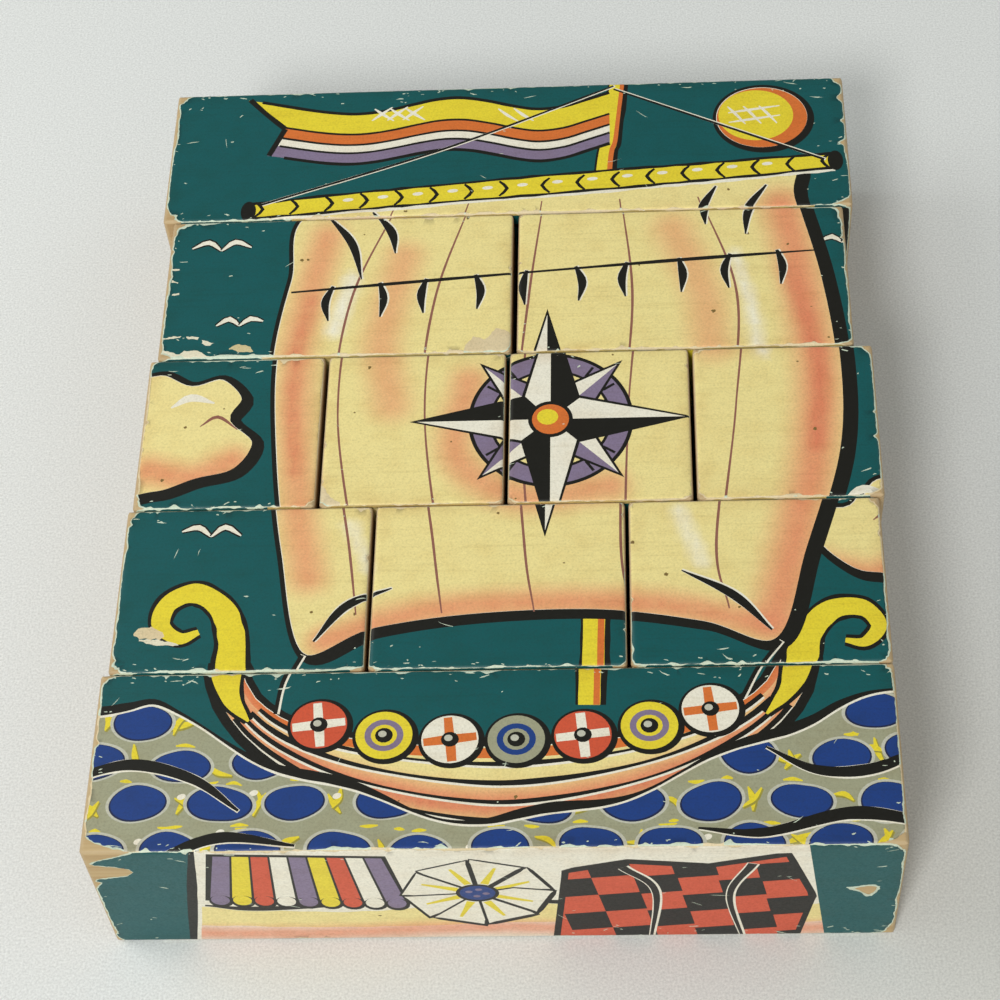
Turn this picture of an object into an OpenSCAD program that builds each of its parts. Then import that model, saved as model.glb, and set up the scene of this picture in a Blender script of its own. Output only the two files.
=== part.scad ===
// A picture puzzle of eleven wooden blocks, laid out as it stands on a table.
// Every block is a length of square wooden stock with a picture strip on each of its
// four long faces. Five rows of equal depth make the picture: one long block, two half
// blocks, four quarter blocks, three third blocks and another long block.
// X runs along the rows, +Y points to the top of the picture and Z is up from the table.

/* [Stock] */
// Side of the square section, the depth and the height of every row
block_w = 38.1; // [25:0.1:60]
// Length of a long block, which is the width of the whole picture
picture_w = 152.2; // [110:0.1:240]

/* [Edges] */
// Radius worn on the four long arrises of a block
arris_r = 0.7; // [0.4:0.1:4]
// Radius worn on the eight arrises round the two sawn ends
end_r = 1; // [0.4:0.1:4]

/* [Saw cuts] */
// How much shorter the back long block was cut than the picture is wide
back_short = 1.35; // [0:0.05:4]
// How much shorter the left half block was cut than its share of the row
half_left_short = 0.7; // [0:0.05:6]
// How much shorter the right half block was cut than its share of the row
half_right_short = 5.3; // [0:0.05:6]
// How much shorter each quarter block was cut than its share of the row
quarter_short = 0.25; // [0:0.05:3]
// How much shorter each third block was cut than its share of the row
third_short = 0.45; // [0:0.05:3]

/* [Laid out by hand] */
// Space left between one row and the next
row_gap = 0.3; // [0.2:0.1:3]
// Space between the two half blocks
half_gap = 1.1; // [0.3:0.1:4]
// Space between neighbouring quarter blocks
quarter_gap = 0.8; // [0.3:0.1:4]
// Space between neighbouring third blocks
third_gap = 0.7; // [0.3:0.1:4]
// How far the back long block was pushed to the left
back_row_shift = 0.2; // [-3:0.1:3]
// How far the two half blocks were pushed to the right
half_row_shift = -0.1; // [-3:0.1:3]
// How far the row of quarter blocks was pushed to the right
quarter_row_shift = 1; // [-3:0.1:3]
// How far the front long block was pushed to the left
front_row_shift = 0.6; // [-3:0.1:3]

/* [Hidden] */
$fn = 48;

// Rows, counted from the back of the table, which is the top of the picture.
BACK_ROW = 0;
HALF_ROW = 1;
QUARTER_ROW = 2;
THIRD_ROW = 3;
FRONT_ROW = 4;
ROWS = 5;
row_pitch = block_w + row_gap;

// For each row: how short each of its blocks was cut, the space between them, and its shift.
row_short = [
    [back_short],
    [half_left_short, half_right_short],
    [quarter_short, quarter_short, quarter_short, quarter_short],
    [third_short, third_short, third_short],
    [0]
];
row_space = [0, half_gap, quarter_gap, third_gap, 0];
row_shift = [-back_row_shift, half_row_shift, quarter_row_shift, 0, -front_row_shift];

function row_count(row) = len(row_short[row]);

// Length of one block: its share of the picture less the spaces and the saw's shortfall.
function block_length(row, place) =
    (picture_w - (row_count(row) - 1) * row_space[row]) / row_count(row)
    - row_short[row][place];

// From a row's left end to the left end of the block at this place, counted from 0.
function block_start(row, place) =
    place == 0
    ? 0
    : block_start(row, place - 1) + block_length(row, place - 1) + row_space[row];

// Length of a whole row, with the spaces between its blocks.
function row_length(row) =
    block_start(row, row_count(row) - 1) + block_length(row, row_count(row) - 1);

// The layout is centred on the middle of its outermost ends, so the shifts keep the origin true.
left_reach = min([for (row = [0 : ROWS - 1]) row_shift[row] - row_length(row) / 2]);
right_reach = max([for (row = [0 : ROWS - 1]) row_shift[row] + row_length(row) / 2]);
middle_x = (left_reach + right_reach) / 2;

// Centre of a block along X.
function block_x(row, place) =
    row_shift[row] - middle_x - row_length(row) / 2
    + block_start(row, place) + block_length(row, place) / 2;

// Centre of a row along Y.
function row_y(row) = ((ROWS - 1) / 2 - row) * row_pitch;

// Rectangle about the origin with true arcs at its corners.
module round_rectangle(size, r) {
    square([size.x - 2 * r, size.y], center = true);
    square([size.x, size.y - 2 * r], center = true);
    for (sx = [-1, 1], sy = [-1, 1])
        translate([sx * (size.x / 2 - r), sy * (size.y / 2 - r)])
            circle(r);
}

// A length of square stock along X, standing on Z = 0, with all twelve arrises eased:
// what is common to its cross-section, its plan and its side view.
module eased_stock(length) {
    translate([0, 0, block_w / 2])
        intersection() {
            rotate([90, 0, 90])
                linear_extrude(height = length, center = true)
                    round_rectangle([block_w, block_w], arris_r);
            linear_extrude(height = block_w, center = true)
                round_rectangle([length, block_w], end_r);
            rotate([90, 0, 0])
                linear_extrude(height = block_w, center = true)
                    round_rectangle([length, block_w], end_r);
        }
}

// One block of the puzzle, in its place in the layout.
module laid_block(row, place) {
    translate([block_x(row, place), row_y(row), 0])
        eased_stock(block_length(row, place));
}

module back_long_block() {
    color("#1f5b5c") laid_block(BACK_ROW, 0);
}

module half_block_left() {
    color("#dccd88") laid_block(HALF_ROW, 0);
}

module half_block_right() {
    color("#dccd88") laid_block(HALF_ROW, 1);
}

module quarter_block_far_left() {
    color("#26655f") laid_block(QUARTER_ROW, 0);
}

module quarter_block_left() {
    color("#dccd88") laid_block(QUARTER_ROW, 1);
}

module quarter_block_right() {
    color("#dccd88") laid_block(QUARTER_ROW, 2);
}

module quarter_block_far_right() {
    color("#26655f") laid_block(QUARTER_ROW, 3);
}

module third_block_left() {
    color("#26655f") laid_block(THIRD_ROW, 0);
}

module third_block_middle() {
    color("#dccd88") laid_block(THIRD_ROW, 1);
}

module third_block_right() {
    color("#26655f") laid_block(THIRD_ROW, 2);
}

module front_long_block() {
    color("#9a9a80") laid_block(FRONT_ROW, 0);
}

back_long_block();
half_block_left();
half_block_right();
quarter_block_far_left();
quarter_block_left();
quarter_block_right();
quarter_block_far_right();
third_block_left();
third_block_middle();
third_block_right();
front_long_block();
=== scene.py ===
import math

import bpy
import numpy as np
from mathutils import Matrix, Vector
from mathutils.geometry import delaunay_2d_cdt


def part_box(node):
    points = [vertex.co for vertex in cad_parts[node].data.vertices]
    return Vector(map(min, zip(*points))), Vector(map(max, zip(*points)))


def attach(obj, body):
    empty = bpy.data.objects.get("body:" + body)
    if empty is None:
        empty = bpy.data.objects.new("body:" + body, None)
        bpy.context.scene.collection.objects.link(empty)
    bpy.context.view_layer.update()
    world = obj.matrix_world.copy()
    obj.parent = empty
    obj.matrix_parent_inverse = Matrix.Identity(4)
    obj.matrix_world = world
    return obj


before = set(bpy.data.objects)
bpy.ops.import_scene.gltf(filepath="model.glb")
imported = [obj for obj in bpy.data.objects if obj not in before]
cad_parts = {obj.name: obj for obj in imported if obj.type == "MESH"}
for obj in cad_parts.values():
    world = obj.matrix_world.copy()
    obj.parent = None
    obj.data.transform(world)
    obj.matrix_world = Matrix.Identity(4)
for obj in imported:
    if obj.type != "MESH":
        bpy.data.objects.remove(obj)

bpy.ops.object.select_all(action="DESELECT")
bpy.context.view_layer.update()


# The table, the daylight and the camera.
# The blocks stand on a white laminate table top, with painted shade that darkens it towards the
# front right. A soft lamp stands in for a window in front and to the left, a weak one for a pale
# wall on the left, and the world for the room.
TABLE_SIDE = 6
TABLE_Z = -0.0001
GRIT_SCALE = 2100
LAMINATE = (0.70, 0.711, 0.70, 1)
# The colour of the painted shade on the laminate, and the way across the table it darkens towards.
LAMINATE_PAINTED_SHADE = (0.638, 0.634, 0.598, 1)
PAINTED_SHADE_WAY = (0.6, -0.8, 0)
LAMPS = [("window", (-0.78, -2.18, 2.08), 0.82, 49.0), ("pale_wall", (-0.42, 0.04, 0.40), 0.35, 0.95)]
LAMP_COLOUR = (1.0, 1.0, 0.985)
ROOM_STRENGTH = 0.675
ROOM_PALE = (0.97, 1.0, 0.97, 1)
ROOM_DARK = (0.12, 0.12, 0.115, 1)
DARK_WAY = (0, 0.55, 0.835)
BACKDROP = (0.72, 0.735, 0.71, 1)
CAMERA_PLACE = (0.0282, -0.2998, 0.4423)
CAMERA_TURN = (34.84, 3.34, 0.94)
CAMERA_LENS = 88.6


class Nodes:
    """Short ways to add and join nodes, in a material or in the world."""

    def __init__(self, tree):
        self.tree = tree

    def join(self, source, target):
        self.tree.links.new(source, target)

    def fill(self, socket, value):
        """Join an output to a socket, or set the socket to a plain value."""
        if hasattr(value, "is_output"):
            self.join(value, socket)
        else:
            socket.default_value = value

    def node(self, kind, **values):
        """A new node. Each value is for a setting, or for a socket, with _ for a space."""
        made = self.tree.nodes.new("ShaderNode" + kind)
        for name, value in values.items():
            if hasattr(made, name):
                setattr(made, name, value)
            else:
                self.fill(made.inputs[name.replace("_", " ")], value)
        return made

    def levels(self, value, low, high, floor=0.0, top=1.0, ease="LINEAR"):
        """What a value has of the way from low to high, as a number from floor to top."""
        made = self.node("MapRange", interpolation_type=ease, Value=value,
                         From_Min=low, From_Max=high, To_Min=floor, To_Max=top)
        return made.outputs["Result"]

    def mix(self, factor, first, second, blend="MIX"):
        made = self.node("Mix", data_type="RGBA", blend_type=blend)
        sockets = (made.inputs[0], made.inputs[6], made.inputs[7])
        for socket, value in zip(sockets, (factor, first, second)):
            self.fill(socket, value)
        return made.outputs[2]

    def fade(self, place, way, low, high, near, far):
        """A colour that turns from near into far between two distances along a way."""
        along = self.node("VectorMath", operation="DOT_PRODUCT")
        self.fill(along.inputs[0], place)
        self.fill(along.inputs[1], way)
        return self.mix(self.levels(along.outputs["Value"], low, high, ease="SMOOTHSTEP"), near, far)


class Finish(Nodes):
    """The nodes of a new material, with its shader and its texture coordinates."""

    def __init__(self, name):
        self.material = bpy.data.materials.new(name)
        self.material.use_nodes = True
        super().__init__(self.material.node_tree)
        self.shader = self.tree.nodes["Principled BSDF"]
        self.place = self.node("TexCoord")


laminate = Finish("white laminate")
on_table = laminate.place.outputs["Object"]
# Painted shade: the laminate turns darker towards the front right.
shade = laminate.fade(on_table, PAINTED_SHADE_WAY, 0.04, 0.17, LAMINATE, LAMINATE_PAINTED_SHADE)
grit = laminate.node("TexNoise", Vector=on_table, Scale=GRIT_SCALE, Detail=3, Roughness=0.65)
grit = laminate.levels(grit.outputs["Fac"], 0.25, 0.75, 0.80, 1.20)
shade = laminate.node("VectorMath", operation="SCALE", Vector=shade, Scale=grit)
laminate.join(shade.outputs["Vector"], laminate.shader.inputs["Base Color"])
laminate.shader.inputs["Roughness"].default_value = 0.34
laminate.shader.inputs["Specular IOR Level"].default_value = 0.3
bpy.ops.mesh.primitive_plane_add(size=TABLE_SIDE, location=(0, 0, TABLE_Z))
table = bpy.context.object
table.name = "table_top"
table.data.materials.append(laminate.material)

for name, spot, size, power in LAMPS:
    bpy.ops.object.light_add(type="AREA", location=spot)
    lamp = bpy.context.object
    lamp.name = name
    lamp.data.shape = "DISK"
    lamp.data.size = size
    lamp.data.energy = power
    lamp.data.color = LAMP_COLOUR
    lamp.rotation_euler = (-lamp.location).to_track_quat("-Z", "Y").to_euler()

world = bpy.data.worlds.new("room")
bpy.context.scene.world = world
world.use_nodes = True
room = Nodes(world.node_tree)
daylight = room.tree.nodes["Background"]
daylight.inputs["Strength"].default_value = ROOM_STRENGTH
around = room.node("TexCoord").outputs["Generated"]
walls = room.fade(around, DARK_WAY, 0.72, 0.93, ROOM_PALE, ROOM_DARK)
room.join(walls, daylight.inputs["Color"])
backdrop = room.node("Background", Color=BACKDROP)
seen = room.node("MixShader", Fac=room.node("LightPath").outputs["Is Camera Ray"])
room.join(daylight.outputs[0], seen.inputs[1])
room.join(backdrop.outputs[0], seen.inputs[2])
room.join(seen.outputs[0], room.tree.nodes["World Output"].inputs["Surface"])

camera_turn = [math.radians(turn) for turn in CAMERA_TURN]
bpy.ops.object.camera_add(location=CAMERA_PLACE, rotation=camera_turn)
camera = bpy.context.object
camera.data.sensor_width = 36
camera.data.lens = CAMERA_LENS
camera.data.clip_start = 0.01
bpy.context.scene.camera = camera
bpy.context.scene.view_settings.view_transform = "Standard"


# The eleven blocks.
# Lengths of square basswood, crosscut, with every arris eased and rubbed by years of play.
# They are the CAD nodes themselves, and get the bare wood that shows at the ends and chips.
def paint(red, green, blue):
    """The shader colour of a colour written as 0 to 255."""
    parts = (red / 255, green / 255, blue / 255)
    return [c / 12.92 if c <= 0.04045 else ((c + 0.055) / 1.055) ** 2.4 for c in parts] + [1.0]


class GrainedFinish(Finish):
    """A finish whose detail is drawn out along the wood's grain, which runs in X."""

    def spread(self, scale, shift=(0, 0, 0)):
        mapping = self.node("Mapping", Scale=scale, Location=shift)
        self.join(self.place.outputs["Object"], mapping.inputs["Vector"])
        return mapping.outputs["Vector"]

    def noise(self, scale, detail=3, roughness=0.55):
        made = self.node("TexNoise", Vector=self.spread(scale), Scale=1.0,
                         Detail=detail, Roughness=roughness)
        return made.outputs["Fac"]

    def sums(self, operation, first, second=0.0):
        made = self.node("Math", operation=operation)
        self.fill(made.inputs[0], first)
        self.fill(made.inputs[1], second)
        return made.outputs[0]

    def dress(self, colour, roughness, shine, relief, strength, distance):
        """Join the finished colour, roughness and relief to the shader."""
        self.join(colour, self.shader.inputs["Base Color"])
        self.join(roughness, self.shader.inputs["Roughness"])
        self.shader.inputs["Specular IOR Level"].default_value = shine
        bump = self.node("Bump", Height=relief, Strength=strength, Distance=distance)
        self.join(bump.outputs["Normal"], self.shader.inputs["Normal"])


PALE_WOOD = paint(190, 166, 124)
RING = paint(168, 139, 98)
FIBRE = paint(170, 138, 96)
CLOUDED = paint(178, 150, 111)
PORE = paint(140, 104, 66)
SAWN = paint(158, 124, 86)
RUBBED = paint(176, 156, 124)


def bare_wood(name, heart_y, heart_z, tone):
    """Basswood with its growth rings round a heart at (heart_y, heart_z), so that a block's
    long faces show grain and its sawn ends show the rings' arcs."""
    wood = GrainedFinish(name)
    rings = wood.node("TexWave", wave_type="RINGS", rings_direction="X", wave_profile="SAW",
                      Vector=wood.spread((0.10, 1, 1), shift=(0, -heart_y, -heart_z)),
                      Scale=70, Distortion=2.2, Detail=2, Detail_Scale=1.2)
    fibre = wood.noise((45, 2300, 2300), roughness=0.6)
    pores = wood.noise((2600, 2600, 2600), detail=2)
    cloud = wood.noise((22, 40, 40))
    body = wood.mix(wood.levels(rings.outputs["Fac"], 0.15, 1.0, 0.0, 0.6), PALE_WOOD, RING)
    body = wood.mix(wood.levels(fibre, 0.42, 0.70, 0.0, 0.5), body, FIBRE)
    body = wood.mix(wood.levels(cloud, 0.45, 0.72, 0.0, 0.55), body, CLOUDED)
    # The sawn ends are darker, and the arrises, which face no one way, are rubbed paler.
    facing = wood.node("SeparateXYZ", Vector=wood.place.outputs["Normal"])
    x, y, z = (wood.sums("ABSOLUTE", facing.outputs[axis]) for axis in "XYZ")
    end = wood.levels(x, 0.75, 0.98)
    sawn = wood.mix(wood.levels(pores, 0.35, 0.65, 0.0, 0.55), body, PORE)
    body = wood.mix(end, body, wood.mix(0.4, sawn, SAWN))
    widest = wood.sums("MAXIMUM", wood.sums("MAXIMUM", y, z), x)
    body = wood.mix(wood.levels(widest, 0.99, 0.90, 0.0, 0.5), body, RUBBED)
    body = wood.mix(1.0, body, [tone, tone * 0.99, tone * 0.97, 1], "MULTIPLY")
    wood.dress(body, wood.levels(fibre, 0.3, 0.7, 0.55, 0.78), 0.35,
               wood.mix(end, fibre, pores), 0.35, 0.0002)
    return wood.material


ROWS = [
    ["back_long_block"],
    ["half_block_left", "half_block_right"],
    ["quarter_block_far_left", "quarter_block_left", "quarter_block_right", "quarter_block_far_right"],
    ["third_block_left", "third_block_middle", "third_block_right"],
    ["front_long_block"],
]
# For each row, the place of the tree's heart across its stock, and the tone of its wood.
STICKS = [
    (0.16, -0.05, 1.0),
    (-0.03, -0.07, 0.97),
    (0.05, 0.13, 1.02),
    (-0.11, 0.09, 0.98),
    (-0.13, -0.06, 1.0),
]
for row, names in enumerate(ROWS):
    stick = bare_wood(f"bare basswood {row + 1}", *STICKS[row])
    for name in names:
        block = bpy.data.objects[name]
        block.data.materials.clear()
        block.data.materials.append(stick)


# The four printed pictures.
# Each block was primed white and printed in flat inks with a black key plate, and softened
# with an airbrush. The drawings are in millimetres from a picture's middle, +Y to its top.
INKS = {
    "teal": paint(6, 81, 83),
    "cream": paint(228, 212, 144),
    "white": paint(228, 223, 206),
    "yellow": paint(222, 203, 50),
    "orange": paint(208, 110, 48),
    "red": paint(201, 83, 54),
    "lilac": paint(126, 112, 138),
    "blue": paint(24, 58, 124),
    "navy": paint(22, 34, 72),
    "stone": paint(153, 153, 126),
    "pale stone": paint(186, 186, 170),
    "olive": paint(150, 142, 60),
    "brown": paint(140, 92, 78),
    "speck": paint(122, 100, 52),
    "black": paint(18, 17, 10),
    "primer": paint(219, 213, 189),
    "chip": paint(193, 205, 185),
    "rub": paint(212, 194, 156),
    "scuff": paint(200, 186, 142),
    # Painted shade for the gap between the rows, laid along the upper edge of a front face.
    "seam shade": paint(188, 166, 102),
}
# What the airbrush lays over them.
SALMON = paint(222, 138, 100)
BLUSH = paint(204, 92, 70)
SHINE = paint(236, 234, 222)
SMOKE = paint(120, 104, 110)
# The sea's lowest row of ovals, its half width, and the edges of what is drawn.
SEA_FLOOR, SEA_HALF = -98, 78
DRAWN_HALF, DRAWN_FLOOR = 80, -100
# The spacing of the ovals, and how each is laid: its ink, its share of the size, its shift up.
OVAL_ACROSS, OVAL_DOWN = 15.4, 9.2
OVAL_COATS = (("pale stone", 1.11, 0), ("navy", 1.0, -0.08), ("blue", 0.94, 0.06))


def ink_number(name):
    return list(INKS).index(name)


def curve(points, closed=False, step=1.1):
    """A smooth line through the points, sampled about every step."""
    points = np.array(points, float)
    count = len(points)
    line = []
    for i in range(count if closed else count - 1):
        here, ahead = points[i], points[(i + 1) % count]
        before = points[i - 1] if closed or i else 2 * here - ahead
        after = points[(i + 2) % count] if closed or i + 2 < count else 2 * ahead - here
        pieces = max(2, int(np.linalg.norm((ahead - here)[:2]) / step))
        for t in np.arange(pieces) / pieces:
            line.append(0.5 * (2 * here + (ahead - before) * t
                               + (2 * before - 5 * here + 4 * ahead - after) * t * t
                               + (3 * here - before - 3 * ahead + after) * t ** 3))
    if not closed:
        line.append(points[-1])
    return np.array(line)


def resample(line, shares):
    """A line's points at these shares of the way along its list of points."""
    own = np.linspace(0, 1, len(line))
    return np.stack([np.interp(shares, own, line[:, k]) for k in (0, 1)], 1)


def side_step(line, closed):
    """The unit normals of a line, to its left."""
    if closed:
        along = np.roll(line, -1, 0) - np.roll(line, 1, 0)
    else:
        along = np.gradient(line, axis=0)
    along = along / np.maximum(np.linalg.norm(along, axis=1), 1e-9)[:, None]
    return np.stack([-along[:, 1], along[:, 0]], 1)


def anticlockwise(line):
    """The same closed outline, listed anticlockwise."""
    x, y = line.T
    return line[::-1] if np.sum(x * np.roll(y, -1) - y * np.roll(x, -1)) < 0 else line


def straight(points, step=2.4):
    """A straight-sided outline with its long edges cut into short ones."""
    points = np.array(points, float)
    line = []
    for here, ahead in zip(points, np.roll(points, -1, 0)):
        pieces = max(1, int(np.ceil(np.linalg.norm(ahead - here) / step)))
        line += [here + (ahead - here) * t / pieces for t in range(pieces)]
    return np.array(line)


def round_points(x, y, wide, high, turn=0):
    """Points of an ellipse, anticlockwise."""
    count = max(14, int(2.2 * math.pi * max(wide, high)))
    angle = np.arange(count) * 2 * math.pi / count
    lean = math.radians(turn)
    across, up = wide * np.cos(angle), high * np.sin(angle)
    return np.stack([x + across * math.cos(lean) - up * math.sin(lean),
                     y + across * math.sin(lean) + up * math.cos(lean)], 1)


class Picture:
    """Shapes in painting order, and the airbrush work that goes over them."""

    def __init__(self, ground, seed):
        self.ground = ground
        self.shapes = []
        self.sprays = []
        self.masked = 0
        self.hand = np.random.default_rng(seed)

    def lay(self, ink, outline, within=None):
        self.shapes.append((ink_number(ink), outline, within))
        return outline

    def panel(self, ink, points, within=None):
        return self.lay(ink, straight(points), within)

    def oval(self, ink, x, y, wide, high, turn=0, within=None):
        return self.lay(ink, round_points(x, y, wide, high, turn), within)

    def brush(self, ink, points, within=None, more=0.0, step=1.0):
        """One stroke. Each point is x, y and the stroke's width there."""
        line = curve(points, step=step)
        places = np.arange(len(line) + 2)
        shake = self.hand.uniform(0.93, 1.07, len(places))
        shake = np.interp(np.arange(len(line)) / 3.1, places, shake)
        middle, half = line[:, :2], (np.maximum(line[:, 2] * shake, 0.08) + more)[:, None] / 2
        side = side_step(middle, False)
        outline = np.concatenate([middle + side * half, (middle - side * half)[::-1]])
        return self.lay(ink, outline, within)

    def key_line(self, points, halo=0.5, lean=(0.12, 0.1), within=None):
        """A black stroke with the thin white line beside it where the plates miss each other."""
        points = np.array(points, float)
        self.brush("white", points + [*lean, 0], within, more=halo)
        self.brush("black", points, within)

    def blob(self, ink, points, thin, thick, lean=-50, halo=0.18, round_corners=True):
        """A closed shape with a black outline, heaviest on the side that lean points to."""
        line = anticlockwise(curve(points, closed=True) if round_corners else straight(points, 1.6))
        out = -side_step(line, True)
        facing = 0.5 + 0.5 * (out @ [math.cos(math.radians(lean)), math.sin(math.radians(lean))])
        width = (thin + (thick - thin) * facing ** 1.5)[:, None]
        self.lay("black", line + out * width * 0.65)
        self.lay("white", line - out * width * 0.35)
        self.masked = len(self.shapes)
        return self.lay(ink, line - out * (width * 0.35 + halo * (1 - facing)[:, None]))

    def spray(self, colour, strength, radius, points):
        """Airbrush over what has been laid since the last masked shape."""
        line = curve(points, step=2.0)
        self.sprays.append((self.masked, len(self.shapes), colour, strength, radius, line))

    def ribbon(self, top, bottom, bands, line=0.6):
        """Stripes between two curves, each (ink, its start, its end) as shares of the way down."""
        top, bottom = (resample(curve(edge), np.linspace(0, 1, 60)) for edge in (top, bottom))
        for ink, start, end in bands:
            first, second = (top + (bottom - top) * k for k in (start, end))
            self.lay(ink, straight(np.concatenate([first, second[::-1]])))
            self.brush("black", np.c_[first[::4], np.full(len(first[::4]), line)])
        for edge in (top, bottom):
            self.brush("black", np.c_[edge[::4], np.full(len(edge[::4]), line * 1.5)])

    def gull(self, x, y, size, lean=0.0):
        for side in (-1, 1):
            wing = np.array([(0, 0, 0.35), (side * 0.45, 0.38, 1.3), (side, 0.12 + lean * side, 0.3)])
            wing[:, :2] = wing[:, :2] * size + [x, y]
            self.brush("black", wing, more=0.7)
            self.brush("white", wing)

    def cloud(self, points, middle):
        """A heaped cloud: cream, warm underneath, with a curl drawn inside its puffs."""
        self.blob("cream", points, 0.9, 3.0, lean=-40)
        x, y = middle
        self.spray(SALMON, 0.85, 6.5, [(x - 9, y - 9), (x, y - 11), (x + 8, y - 7)])
        self.brush("white", [(x - 6, y + 7, 0.4), (x - 2, y + 9.5, 2.0), (x + 3, y + 8, 0.4)])
        self.brush("brown", [(x + 0.5, y + 2.0, 0.2), (x + 4, y + 4.4, 0.9), (x + 8.4, y + 1.0, 0.2)])

    def glint(self, x, y, within):
        """One yellow stroke on the water, or two crossed ones, shaded in olive."""
        roll = self.hand.uniform
        angle = self.hand.choice([-0.35, 0.3, 1.1, 1.9, 2.6]) + roll(-0.25, 0.25)
        for turn in (0, self.hand.choice([0.75, 1.2, -0.9])):
            along = np.array([math.cos(angle + turn), math.sin(angle + turn)])
            middle = np.array([x, y]) + along * roll(-1.0, 1.4) * bool(turn)
            bow = np.array([-along[1], along[0]]) * roll(-0.9, 0.9)
            reach = along * roll(1.7, 3.3)
            stroke = np.array([(*(middle - reach), 0.3), (*(middle + bow), roll(0.9, 1.5)),
                               (*(middle + reach), 0.3)])
            self.brush("olive", stroke + [0.18, -0.28, 0.25], within, step=0.5)
            self.brush("yellow", stroke, within, step=0.5)
            if roll() < 0.45:
                break

    def swell(self, high, surface):
        """Water under its surface: yellow glints and white dots, and rows of blue ovals on them."""
        roll = self.hand.uniform
        shore = [(x, surface(x)) for x in np.arange(-DRAWN_HALF, DRAWN_HALF + 1, 4)]
        sea = self.panel("stone", shore + [(DRAWN_HALF, DRAWN_FLOOR), (-DRAWN_HALF, DRAWN_FLOOR)])
        ovals = []
        for level, y in enumerate(np.arange(high, SEA_FLOOR - 3, -OVAL_DOWN)):
            for x in np.arange(-SEA_HALF - 4 + 7.6 * (level % 2), SEA_HALF + 6, OVAL_ACROSS):
                px, py = x + roll(-1.3, 1.3), y + roll(-0.8, 0.8)
                if py > surface(px) + 3.4:
                    continue
                ovals.append((px, py))
                gx, gy = px + 7.7 + roll(-0.8, 0.8), py + roll(-1.2, 1.2)
                self.glint(gx, gy, sea)
                for _ in range(self.hand.integers(1, 3)):
                    sx, sy = px + roll(-4, 6), py + 4.4 + roll(-0.5, 0.5)
                    reach = roll(0.8, 1.9)
                    dash = [(sx - reach, sy, 0.3), (sx, sy + roll(-0.3, 0.4), 0.8),
                            (sx + reach, sy + roll(-0.3, 0.3), 0.25)]
                    self.brush("yellow", dash, sea, step=0.5)
                if roll() < 0.4:
                    self.oval("white", gx + roll(-2, 2), gy + roll(1.4, 2.4), 0.85, 0.6, 20, sea)
        for px, py in ovals:
            plain = round_points(0, 0, roll(5.3, 6.1), roll(3.4, 4.0), roll(-7, 9))
            angle = np.arctan2(plain[:, 1], plain[:, 0])
            uneven = 1 + 0.04 * np.sin(2 * angle + roll(0, 6.3))
            uneven = uneven + 0.03 * np.sin(3 * angle + roll(0, 6.3))
            for ink, share, shift in OVAL_COATS:
                self.lay(ink, plain * uneven[:, None] * share + [px, py + shift], sea)


# The picture on the upper faces.
# A striped pennant streams over a longship under full sail, on a sea of blue ovals. Each block
# carries its own strip of it, and the five rows lie together as the whole.
ship = Picture("teal", 11)
ship.cloud([(-80, -14), (-80, 10), (-73, 15.5), (-66, 12.5), (-59.5, 14), (-54.5, 8.5), (-56.5, 3),
            (-51.5, -3), (-55, -10), (-63, -12.5), (-71, -15.5)], (-64, -0.5))
ship.cloud([(82, -16), (74, -15), (69.5, -21), (64.5, -22), (62.5, -29), (67, -35), (73, -38), (82, -36)],
           (73.5, -27))
ship.gull(-62, 49, 6.5)
ship.gull(-56.5, 28, 5, 0.1)
ship.gull(-58, -26, 6, -0.1)
ship.gull(72, 47, 4.5)
# The sun, low behind the pennant.
ship.blob("orange", round_points(57, 84, 10.5, 9.5), 0.7, 1.8)
ship.oval("yellow", 55.6, 84.8, 8.3, 7.6)
for x in (51, 54.5, 58):
    ship.brush("white", [(x - 1.6, 87.6, 0.3), (x, 85.5, 0.7), (x + 2.2, 82.2, 0.3)])
for y in (86.5, 83.6):
    ship.brush("white", [(49.5, y - 0.8, 0.3), (54.5, y, 0.7), (61, y + 1.0, 0.3)])
# The mast and its pennant.
ship.brush("black", [(25.5, 100, 4.6), (23.5, 80, 4.8), (21.5, 58, 5.2), (18.5, -66, 6.0)])
ship.brush("yellow", [(25.2, 100, 3.1), (23.2, 80, 3.2), (21.2, 58, 3.4), (18.2, -66, 4.2)])
ship.brush("orange", [(26.4, 100, 0.9), (24.4, 80, 1.0), (22.4, 58, 1.1), (19.6, -66, 1.3)])
pennant = [(23, 93.0), (8, 88.5), (-12, 92.8), (-34, 88.6), (-60, 94.0)]
pennant_foot = [(23, 77.5), (8, 72.8), (-12, 77.0), (-34, 73.4), (-53.6, 76.6)]
ship.ribbon(pennant, pennant_foot, [("yellow", 0, 0.42), ("orange", 0.42, 0.63), ("white", 0.63, 0.79),
                                    ("lilac", 0.79, 1)])
ship.panel("teal", [(-62, 97), (-50.5, 84.6), (-56, 70), (-64, 70)])
for edge in ([(-58.6, 93.9, 1.3), (-54.5, 89.2, 1.3), (-50.0, 84.6, 1.3)],
             [(-50.0, 84.6, 1.3), (-51.6, 80.6, 1.3), (-53.2, 76.6, 1.3)]):
    ship.brush("black", edge)
for x in (-28, -24.5, -21):
    ship.brush("white", [(x - 2, 90.0, 0.3), (x, 88.2, 0.8), (x + 2.5, 86.2, 0.3)])
    ship.brush("white", [(x + 2, 90.4, 0.3), (x - 0.5, 88.2, 0.8), (x - 2.5, 86.4, 0.3)])
for x in (0, 3.5):
    ship.brush("white", [(x - 2, 89.0, 0.3), (x, 87.0, 0.8), (x + 2.5, 85.0, 0.3)])
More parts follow.
